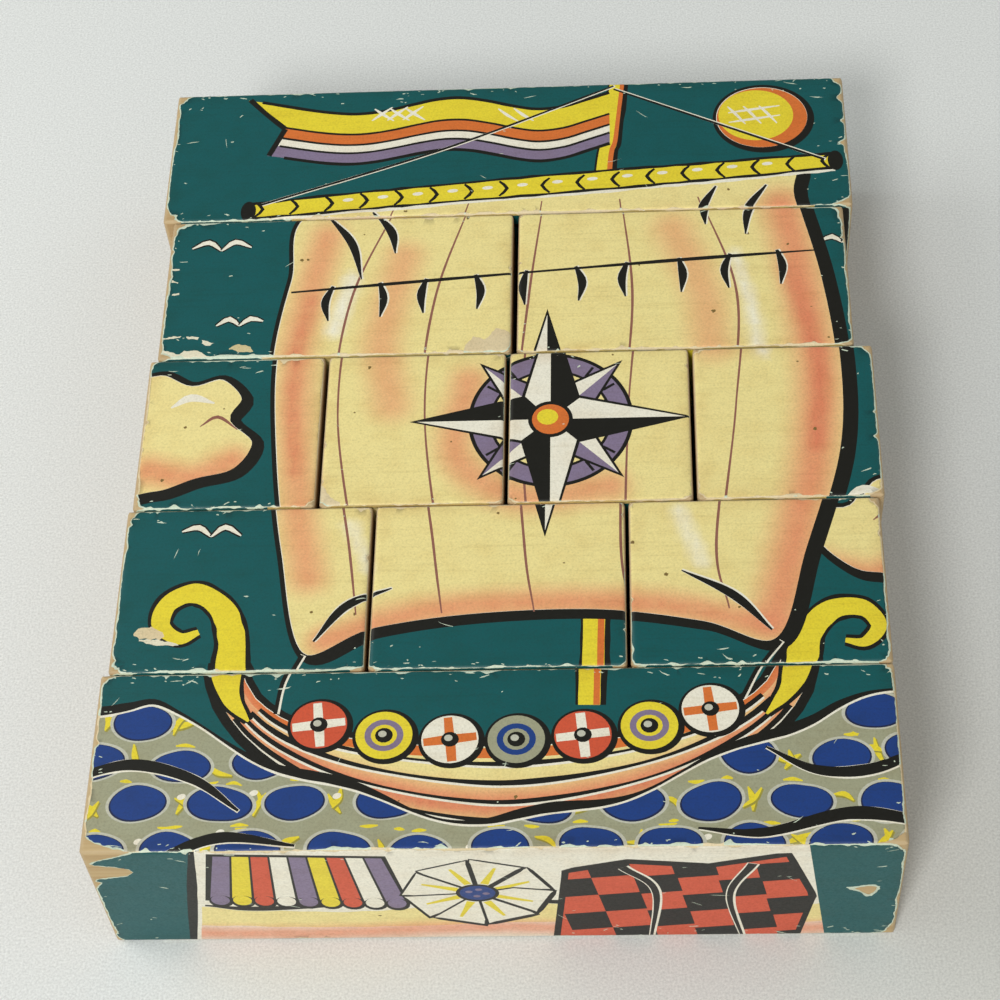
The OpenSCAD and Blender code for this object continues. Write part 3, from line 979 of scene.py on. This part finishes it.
def small_wear(hand, size):
    """Specks in the cream, and flakes and scratches in the darker inks, most near the edges."""
    area, half = size[0] * size[1], np.array(size) / 2
    speck, chip = ink_number("speck"), ink_number("chip")
    shapes = []
    for _ in range(int(area / SPECK_AREA)):
        x, y = hand.uniform(-half, half)
        across = hand.uniform(0.35, 0.9)
        shapes.append((speck, torn(hand, x, y, across, across * hand.uniform(0.6, 1.1)), None))
    for _ in range(int(area / FLAKE_AREA)):
        x, y = hand.uniform(-half, half)
        if hand.uniform() < 0.66:
            y = math.copysign(half[1] - 0.5 - hand.exponential(1.3), y)
        elif hand.uniform() < 0.5:
            x = math.copysign(half[0] - 0.5 - hand.exponential(1.6), x)
        across = hand.uniform(0.25, 0.9) if hand.uniform() < 0.8 else hand.uniform(0.9, 2.6)
        up = hand.uniform(0.12, 0.32)
        shapes.append((chip, torn(hand, x, y, across, up, 0.4, hand.normal(0, 0.35)), None))
    for _ in range(int(area / SCRATCH_AREA + 0.5)):
        x, y = hand.uniform(-half, half) * 0.85
        across, up = hand.uniform(1.2, 4.5), hand.uniform(0.09, 0.16)
        shapes.append((chip, torn(hand, x, y, across, up, 0.5, hand.uniform(0, 3.1)), None))
    return shapes


def worn_place(hand, points, more, rough):
    """The ragged outline of a worn place, this much wider than the points it is drawn through."""
    line = anticlockwise(straight(points, PLACE_STEP))
    along = np.arange(len(line)) * PLACE_STEP
    total = along[-1] + 0.4
    ragged = 0.5 * wander(hand, total, 0.55, along) + 0.5 * wander(hand, total, 1.9, along) - 0.5
    return line - side_step(line, True) * (more + rough * ragged)[:, None]


def cut_mesh(hand, half, lines, rim_end):
    """Triangles with every line cut into them, over a loose net that carries the shading. Also
    which corners lie on the rims of the ink, the lines from the second up to rim_end."""
    spots, edges, rims, count = [], [], [], 0
    for which, line in enumerate(lines):
        near = (np.abs(line) < half + 2.6).all(1)
        number = np.arange(len(line)) + count
        edges.append(np.stack([number, np.roll(number, -1)], 1)[near | np.roll(near, -1)])
        spots.append(line)
        rims.append(np.full(len(line), 0 < which < rim_end))
        count += len(line)
    spots, edges, rims = np.concatenate(spots), np.concatenate(edges), np.concatenate(rims)
    used, edges = np.unique(edges, return_inverse=True)
    spots, edges, rims = spots[used], edges.reshape(-1, 2), rims[used]
    across, up = np.meshgrid(*(np.arange(-reach + 2, reach - 1.9, NET_STEP) for reach in half))
    net = np.stack([across.ravel(), up.ravel()], 1)
    net = net + hand.uniform(-NET_SHAKE, NET_SHAKE, (across.size, 2))
    points = [Vector(spot) for spot in np.concatenate([spots, net])]
    corners, _, faces, sources, _, _ = delaunay_2d_cdt(points, edges.tolist(), [], 0, 1e-3, True)
    at_rim = [any(source < len(rims) and rims[source] for source in found) for found in sources]
    return np.array([tuple(corner) for corner in corners]), np.array(faces), np.array(at_rim)


def laid_ink(ground, shapes, shown, middles):
    """The ink at each spot, and the number of its shape: the last that was laid over it."""
    top = np.full(len(middles), -1)
    ink = np.full(len(middles), ink_number(ground))
    for number in shown:
        shade, outline, within = shapes[number]
        over = inside(middles, outline)
        if shade == ink_number("speck"):
            over &= is_ink(ink, ["cream"])
        elif shade == ink_number("chip"):
            over &= ~is_ink(ink, PALE_INKS)
        if within is not None:
            over[over] = inside(middles[over], within)
        top[over] = number
        ink[over] = shade
    return ink, top


def ease(value):
    value = np.clip(value, 0, 1)
    return value * value * (3 - 2 * value)


def airbrush(sprays, centre, soft, top, middles, corner, colour):
    """Lay a picture's airbrush work over the colours of its soft inks."""
    for first, last, spray, strength, radius, line in sprays:
        line = line - centre
        near = ((middles > line.min(0) - radius - 2) & (middles < line.max(0) + radius + 2)).all(1)
        hit = np.flatnonzero(soft & (top >= first) & (top < last) & near)
        if len(hit):
            gap = np.linalg.norm(corner[hit][:, :, None] - line[None, None], axis=3).min(2)
            share = strength * ease(1 - gap / radius)[..., None]
            colour[hit] = colour[hit] * (1 - share) + np.array(spray[:3]) * share


def sink(inset, radius):
    """How far a rounded arris has fallen away at this inset from the block's side."""
    left = np.clip(radius - inset, 0, radius)
    return radius - np.sqrt(radius ** 2 - left ** 2)


def print_panel(name, picture, centre, size, seed, corners, ends, rough, bare):
    """The film on one long face, lying flat in millimetres with the picture's top to +Y."""
    hand = np.random.default_rng(seed)
    half = np.array(size) / 2
    inked, primer = worn_edge(hand, half, ends, corners, rough)
    primer = np.clip(primer, 0.08 - half, half - 0.08)
    shapes = [(ink, outline - centre, None if within is None else within - centre)
              for ink, outline, within in picture.shapes]
    first_wear = len(shapes)
    shapes += small_wear(hand, size)
    holes = []
    for cover, points in bare:
        if cover == "wood":
            shapes.append((ink_number("chip"), worn_place(hand, points, 0.24, 0.7), None))
            holes.append(worn_place(hand, points, 0.0, 0.4))
        else:
            shapes.append((ink_number(cover), worn_place(hand, points, 0.0, 0.7), None))
    shown = [number for number, (_, outline, _) in enumerate(shapes)
             if (outline.max(0) > -half - 1).all() and (outline.min(0) < half + 1).all()]
    lines = [primer, inked] + holes + [shapes[number][1] for number in shown]
    for x, y in half - np.array(ARRIS_LINES):
        lines.append(straight([(-x, -y), (x, -y), (x, y), (-x, y)], 1.5))
    place, faces, at_rim = cut_mesh(hand, half, lines, len(holes) + 2)
    middles = place[faces].mean(1)
    kept = inside(middles, primer)
    for hole in holes:
        kept &= ~inside(middles, hole)
    faces, middles = faces[kept], middles[kept]
    ink, top = laid_ink(picture.ground, shapes, shown, middles)
    off = ~inside(middles, inked)
    ink[off] = np.where(is_ink(ink[off], PALE_INKS), ink_number("rub"), ink_number("chip"))
    top[off] = first_wear
    corner = place[faces]
    colour = np.array(list(INKS.values()))[ink][:, None, :3].repeat(3, 1)
    airbrush(picture.sprays, centre, is_ink(ink, SOFT_INKS), top, middles, corner, colour)
    bald = is_ink(ink, BALD_INKS)[:, None]
    # Darken the rims of the ink and of the bared places: part dirt, part painted shade of the ink's raised
    # edge.
    colour *= np.where(at_rim[faces] & ~bald, RIM_DIRT_AND_SHADE, 1.0)[..., None]
    # The fourth channel says how near the edge a spot is, for the wear that the finish adds.
    inset = (half - np.abs(corner)).min(2)
    worn = np.clip(1 - inset / WORN_REACH, 0, 1) * np.where(bald, 0.5, 1.0)
    end_fall = sink(half[0] - np.abs(place[:, 0]), END_R)
    side_fall = sink(half[1] - np.abs(place[:, 1]), ARRIS_R)
    height = half[1] + COAT - np.maximum(end_fall, side_fall)
    used, faces = np.unique(faces, return_inverse=True)
    mesh = bpy.data.meshes.new(name)
    mesh.from_pydata(np.c_[place[used], height[used]], [], faces.reshape(-1, 3).tolist())
    tints = np.concatenate([colour, worn[..., None]], 2).astype(np.float32)
    layer = mesh.color_attributes.new("print", "FLOAT_COLOR", "CORNER")
    layer.data.foreach_set("color", tints.ravel())
    panel = bpy.data.objects.new(name, mesh)
    bpy.context.collection.objects.link(panel)
    return panel


def printed_ink():
    """Flat printing ink over primer on planed wood: a fine tooth, faint grain, rubbed edges."""
    coat = GrainedFinish("printed ink")
    drawn = coat.node("VertexColor", layer_name="print")
    near = drawn.outputs["Alpha"]
    grain = coat.noise((55, 1300, 1300), roughness=0.6)
    mottle = coat.noise((170, 230, 230))
    tooth = coat.noise((2300, 2300, 2300), roughness=0.7)
    flake = coat.noise((500, 1200, 1200), detail=4, roughness=0.68)
    dirt = coat.noise((70, 100, 100), detail=4, roughness=0.6)
    body = drawn.outputs["Color"]
    for value, low, high, tint in (
        (tooth, 0.50, 0.80, [0.76, 0.76, 0.74, 1]),
        (tooth, 0.46, 0.20, [1.16, 1.16, 1.15, 1]),
        (mottle, 0.45, 0.72, [0.95, 0.92, 0.88, 1]),
        (grain, 0.56, 0.68, [0.935, 0.925, 0.905, 1]),
    ):
        body = coat.mix(coat.levels(value, low, high), body, tint, "MULTIPLY")
    smear = coat.sums("MULTIPLY", coat.levels(dirt, 0.42, 0.70),
                      coat.levels(near, 0.45, 1.0, 0.0, 0.9))
    body = coat.mix(smear, body, [0.84, 0.74, 0.66, 1], "MULTIPLY")
    chipping = coat.sums("ADD", flake, coat.levels(near, 0.75, 1.0, 0.0, 0.13))
    body = coat.mix(coat.levels(chipping, 0.770, 0.795), body, paint(216, 210, 188))
    relief = coat.sums("ADD", coat.sums("MULTIPLY", grain, 0.5), coat.sums("MULTIPLY", tooth, 0.6))
    coat.dress(body, coat.levels(tooth, 0.3, 0.7, 0.40, 0.54), 0.45, relief, 0.16, 0.0001)
    return coat.material


INKED = printed_ink()
# Where along each row its picture meets the next row in cream and not in teal.
CREAM_SEAMS = ((-47, 67), (-51, 72), (-47, 65))


def close_film(panel):
    """Let a film's rim down into the wood and close it underneath."""
    bpy.ops.object.select_all(action="DESELECT")
    bpy.context.view_layer.objects.active = panel
    panel.select_set(True)
    bpy.ops.object.mode_set(mode="EDIT")
    bpy.ops.mesh.select_all(action="SELECT")
    bpy.ops.mesh.region_to_loop()
    bpy.ops.mesh.extrude_region_move(TRANSFORM_OT_translate={"value": (0, 0, -FILM_DEPTH)})
    bpy.ops.mesh.fill(use_beauty=True)
    bpy.ops.object.mode_set(mode="OBJECT")


def map_film(mesh, side, size, seen_count):
    """The map that the print is kept on: four faces in a grid, with what is hidden in a strip."""
    flat = np.empty(len(mesh.vertices) * 3)
    mesh.vertices.foreach_get("co", flat)
    order = np.empty(len(mesh.loops), int)
    mesh.loops.foreach_get("vertex_index", order)
    share = flat.reshape(-1, 3)[order][:, :2] / size + 0.5
    sides = [polygon.loop_total for polygon in mesh.polygons]
    owner = np.repeat(np.arange(len(mesh.polygons)), sides)
    columns = 1 if size[0] > 100 else 2
    cell = np.array([side % columns, side // columns])
    seen = (cell + 0.01 + 0.98 * share) / [columns, 4 // columns] * (1, 0.94)
    hidden = np.stack([(side + 0.05 + 0.9 * share[:, 0]) / 4, 0.95 + 0.045 * share[:, 1]], 1)
    spots = np.where((owner < seen_count)[:, None], seen, hidden)
    mesh.uv_layers.new(name="OFBake").data.foreach_set("uv", spots.ravel())


def print_block(node, body, window_x, row, seed, corners, ends, rough=1.0, bare={}):
    """Films for the four long faces of a block, joined as one piece. window_x is how far to the
    right in the pictures the block's middle comes. corners and bare give the worn corners and
    the bare places of a face by its number, where the upper face is 0 and the front face 1."""
    low, high = (np.array(corner) * 1000 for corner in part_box(node))
    long, wide = high[0] - low[0], high[2] - low[2]
    centre = (low + high) / 2
    # The front face's upper edge shows between the rows. It is painted teal, the colour of the next row's
    # print, and where the rows meet in cream, a darker tan that is painted shade for the gap between them.
    edge = wide / 2 - SEAM_WIDE
    seam = [("teal", [(-long, edge), (long, edge), (long, wide), (-long, wide)])]
    if row < len(CREAM_SEAMS):
        left, right = np.array(CREAM_SEAMS[row]) - centre[0]
        seam.append(("seam shade", [(left, edge), (right, edge), (right, wide), (left, wide)]))
    panels = []
    for side, picture in enumerate((ship, fair, light, beach)):
        places = list(bare.get(side, []))
        if side == 1 and node != "front_long_block":
            places += seam
        panel = print_panel(f"panel_{side}", picture, np.array([window_x, (2 - row) * ROW_PITCH]),
                            (long, wide), seed * 10 + side, corners.get(side, [WORN_CORNER] * 4),
                            ends, rough, places)
        seen_count = len(panel.data.polygons)
        close_film(panel)
        map_film(panel.data, side, (long, wide), seen_count)
        panel.rotation_euler.x = math.radians(90 * side)
        panels.append(panel)
    bpy.ops.object.select_all(action="DESELECT")
    for panel in panels:
        panel.select_set(True)
    bpy.context.view_layer.objects.active = panels[0]
    bpy.ops.object.join()
    piece = bpy.context.object
    piece.name = f"print_{node}"
    piece.scale = (0.001, 0.001, 0.001)
    piece.location = centre / 1000
    bpy.ops.object.transform_apply(location=True, rotation=True, scale=True)
    bpy.ops.object.shade_smooth_by_angle(angle=math.radians(40))
    piece.data.materials.append(INKED)
    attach(piece, body)


# Worn places: what shows in each, and its outline in millimetres from the face's middle. "wood"
# is bared right down, and the others are the primer, a stain, a rubbed ink, or black painted shade.
BACK_WEAR_AND_SHADE = [
    ("wood", [(-77, 20), (-70.4, 20), (-72.4, 17.0), (-73.2, 12.0), (-74.0, 7.0), (-77, 5)]),
    # Painted shade: black on the right end of the front face, where the half block's end leaves it in
    # shadow.
    ("black", [(77, 20), (71.4, 20), (72.6, 14.0), (73.4, 4.0), (74.2, -4.0), (77, -6)]),
]
print_block("back_long_block", "back_row", 0, 0, 101,
            {0: [(3.2, 5.2), (6.0, 2.6), (3.0, 4.0), (4.6, 3.0)]}, (OUTER_LEFT, OUTER_RIGHT),
            bare={1: BACK_WEAR_AND_SHADE})


# The print on the two half blocks.
# The same coat and pictures. The left one is chipped along its lower edge at the left and
# rubbed at the right, where hands have turned it.
HALF_LEFT_WEAR = [
    ("primer", [(-38.4, -16.2), (-36.1, -16.6), (-34.4, -17.2), (-32.8, -17.8), (-31.7, -16.8),
                (-29.8, -16.7), (-27.9, -17.3), (-27.0, -18.3), (-23.5, -18.6), (-23.5, -20),
                (-38.4, -20)]),
    ("wood", [(-38.4, -17.6), (-36.2, -17.7), (-34.6, -18.4), (-33.6, -20), (-38.4, -20)]),
    ("primer", [(-36.6, 5.9), (-34.9, 5.7), (-35.0, 5.3), (-36.5, 5.4)]),
    ("primer", [(-36.2, 2.6), (-34.6, 2.0), (-34.8, 1.6), (-36.3, 2.0)]),
    ("primer", [(-36.0, -1.2), (-34.2, -0.9), (-34.2, -1.5), (-35.9, -1.7)]),
    ("primer", [(-37.0, -13.2), (-32.8, -12.9), (-33.0, -13.4), (-36.8, -13.7)]),
    ("primer", [(-31.6, -13.0), (-29.0, -13.3), (-29.2, -13.9), (-31.2, -13.7)]),
    ("primer", [(-28.2, -14.2), (-25.6, -14.9), (-26.4, -15.6), (-28.4, -15.0)]),
    ("scuff", [(-22.4, -16.4), (-20.2, -15.4), (-17.6, -16.2), (-17.0, -17.6), (-20.4, -17.4)]),
    ("rub", [(27.5, -17.4), (29.5, -14.6), (31.8, -15.6), (34.2, -12.8), (36.4, -13.4), (38.4, -15.0),
             (38.4, -20), (27.5, -20)]),
]
HALF_LEFT_X, HALF_RIGHT_X = -35.98, 37.68
GUARDED_WEAR = 0.9
print_block("half_block_left", "half_left", HALF_LEFT_X, 1, 102,
            {0: [(3.0, 2.0), (1.6, 1.0), (1.6, 1.0), (3.4, 4.2)]}, (OUTER_LEFT, INNER),
            GUARDED_WEAR, {0: HALF_LEFT_WEAR})
print_block("half_block_right", "half_right", HALF_RIGHT_X, 1, 103,
            {0: [(1.6, 1.0), (3.2, 2.0), (2.4, 4.8), (1.6, 1.0)]}, (INNER, OUTER_RIGHT),
            GUARDED_WEAR)


# The print on the four quarter blocks.
# The same again on shorter lengths. The second one is rubbed at a lower corner, and each has
# lost the upper right corner of its front face, which shows as a notch between the rows.
QUARTER_STEP = 38.05
# The cream blocks in the middle have softer edges than the teal ones at the sides.
SOFT_WEAR = 0.6
QUARTERS = [
    ("far_left", "teal", [(2.6, 3.6), (2.2, 1.6), (2.2, 1.6), (2.2, 3.0)]),
    ("left", "cream", [(1.8, 1.3), (1.4, 1.0), (1.3, 1.0), (1.6, 1.2)]),
    ("right", "cream", [(1.3, 1.0), (1.6, 1.3), (1.5, 1.2), (1.3, 1.0)]),
    ("far_right", "teal", [(2.2, 1.6), (3.8, 2.8), (2.6, 3.4), (2.2, 1.6)]),
]
RUBBED_CORNER = ("rub", [(-19, -13.5), (-17.6, -14.6), (-16.4, -17.0), (-14.2, -18.2), (-14.2, -20),
                         (-19, -20)])
QUARTER_NOTCH = ("wood", [(20, 20), (15.4, 20), (16.8, 14), (17.2, 6), (20, 4)])
for place, (name, colour, corners) in enumerate(QUARTERS):
    ends = (OUTER_LEFT if place == 0 else INNER, OUTER_RIGHT if place == 3 else INNER)
    print_block(f"quarter_block_{name}", f"quarter_{name}",
                (place - 1.5) * QUARTER_STEP, 2, 104 + place, {0: corners}, ends,
                1.0 if colour == "teal" else SOFT_WEAR,
                {0: [RUBBED_CORNER] if place == 1 else [], 1: [QUARTER_NOTCH]})


# The print on the three third blocks.
# The left one has lost a flake of its coat, down to the stain in the primer.
THIRD_STEP = 50.733
FLAKE = [
    ("primer", [(-19.6, -11.4), (-18.0, -11.4), (-17.0, -11.9), (-16.0, -11.6), (-14.6, -12.2),
                (-12.8, -12.3), (-11.2, -12.9), (-12.6, -13.2), (-14.4, -12.9), (-16.6, -12.8),
                (-18.4, -12.1)]),
    ("rub", [(-20.6, -10.2), (-20.3, -9.3), (-19.4, -8.7), (-18.2, -8.8), (-17.4, -8.5), (-16.0, -9.1),
             (-14.8, -9.8), (-14.6, -10.9), (-15.4, -11.6), (-16.2, -11.2), (-17.2, -11.6),
             (-18.0, -11.2), (-19.4, -11.3)]),
]
THIRDS = [
    ("left", "teal", [(2.9, 2.8), (2.2, 1.6), (2.2, 1.6), (2.6, 3.6)]),
    ("middle", "cream", [(1.5, 1.2), (1.5, 1.2), (1.4, 1.1), (1.4, 1.1)]),
    ("right", "teal", [(2.2, 1.6), (2.4, 3.2), (2.6, 3.0), (2.2, 1.6)]),
]
THIRD_NOTCH = ("wood", [(26, 20), (21.8, 20), (23.2, 14), (23.6, 6), (26, 4)])
for place, (name, colour, corners) in enumerate(THIRDS):
    ends = (OUTER_LEFT if place == 0 else INNER, OUTER_RIGHT if place == 2 else INNER)
    print_block(f"third_block_{name}", f"third_{name}",
                (place - 1) * THIRD_STEP, 3, 108 + place, {0: corners}, ends,
                1.0 if colour == "teal" else SOFT_WEAR,
                {0: FLAKE if place == 0 else [], 1: [THIRD_NOTCH]})


# The print on the front long block.
# Its front face is seen most. It has a chip near the right end, and bare fingers at the left.
FRONT_TOP_WEAR = [
    ("wood", [(-77, -14.2), (-75.4, -15.0), (-74.8, -16.2), (-73.4, -17.0), (-72.0, -17.5), (-69.5, -18.3),
              (-66, -18.9), (-66, -20), (-77, -20)]),
    ("wood", [(77, -16.6), (75.2, -16.8), (73.8, -18.0), (70.5, -18.8), (70.5, -20), (77, -20)]),
]
FRONT_FACE_WEAR = [
    ("wood", [(-77.5, 20.5), (-66.4, 20.5), (-66.6, 18.9), (-67.8, 18.2), (-71.0, 16.9), (-74.2, 15.4),
              (-74.9, 14.7), (-74.0, 14.0), (-71.5, 13.3), (-69.8, 12.9), (-68.0, 12.2), (-67.4, 11.0),
              (-68.6, 9.6), (-70.4, 9.2), (-72.4, 8.8), (-74.8, 8.2), (-75.1, 7.5), (-74.1, 6.8),
              (-75.1, 5.4), (-75.9, 3.3), (-77.5, 2.6)]),
    ("chip", [(65.6, 1.5), (66.9, 1.6), (68.2, 2.1), (69.7, 2.6), (71.0, 2.4), (71.9, 1.8), (71.8, 0.7),
              (71.3, -0.7), (70.6, -2.3), (69.5, -2.4), (68.8, -1.5), (68.1, -0.6), (66.9, 0.1),
              (66.0, 0.8)]),
    ("wood", [(67.0, 0.9), (68.3, 1.5), (69.6, 2.0), (70.9, 1.9), (71.4, 1.3), (71.2, 0.4), (70.7, -0.8),
              (70.1, -1.7), (69.6, -1.6), (68.9, -0.8), (68.0, 0.2)]),
]
# Its right end is rubbed more than those of the rows behind it.
FRONT_RIGHT = 0.72
print_block("front_long_block", "front_row", 0, 4, 111,
            {0: [(2.4, 1.4), (2.6, 1.4), (2.3, 3.0), (4.4, 3.2)],
             1: [(2.2, 3.0), (3.4, 9.0), (3.2, 3.4), (3.0, 2.0)]}, (OUTER_LEFT, FRONT_RIGHT),
            bare={0: FRONT_TOP_WEAR, 1: FRONT_FACE_WEAR})
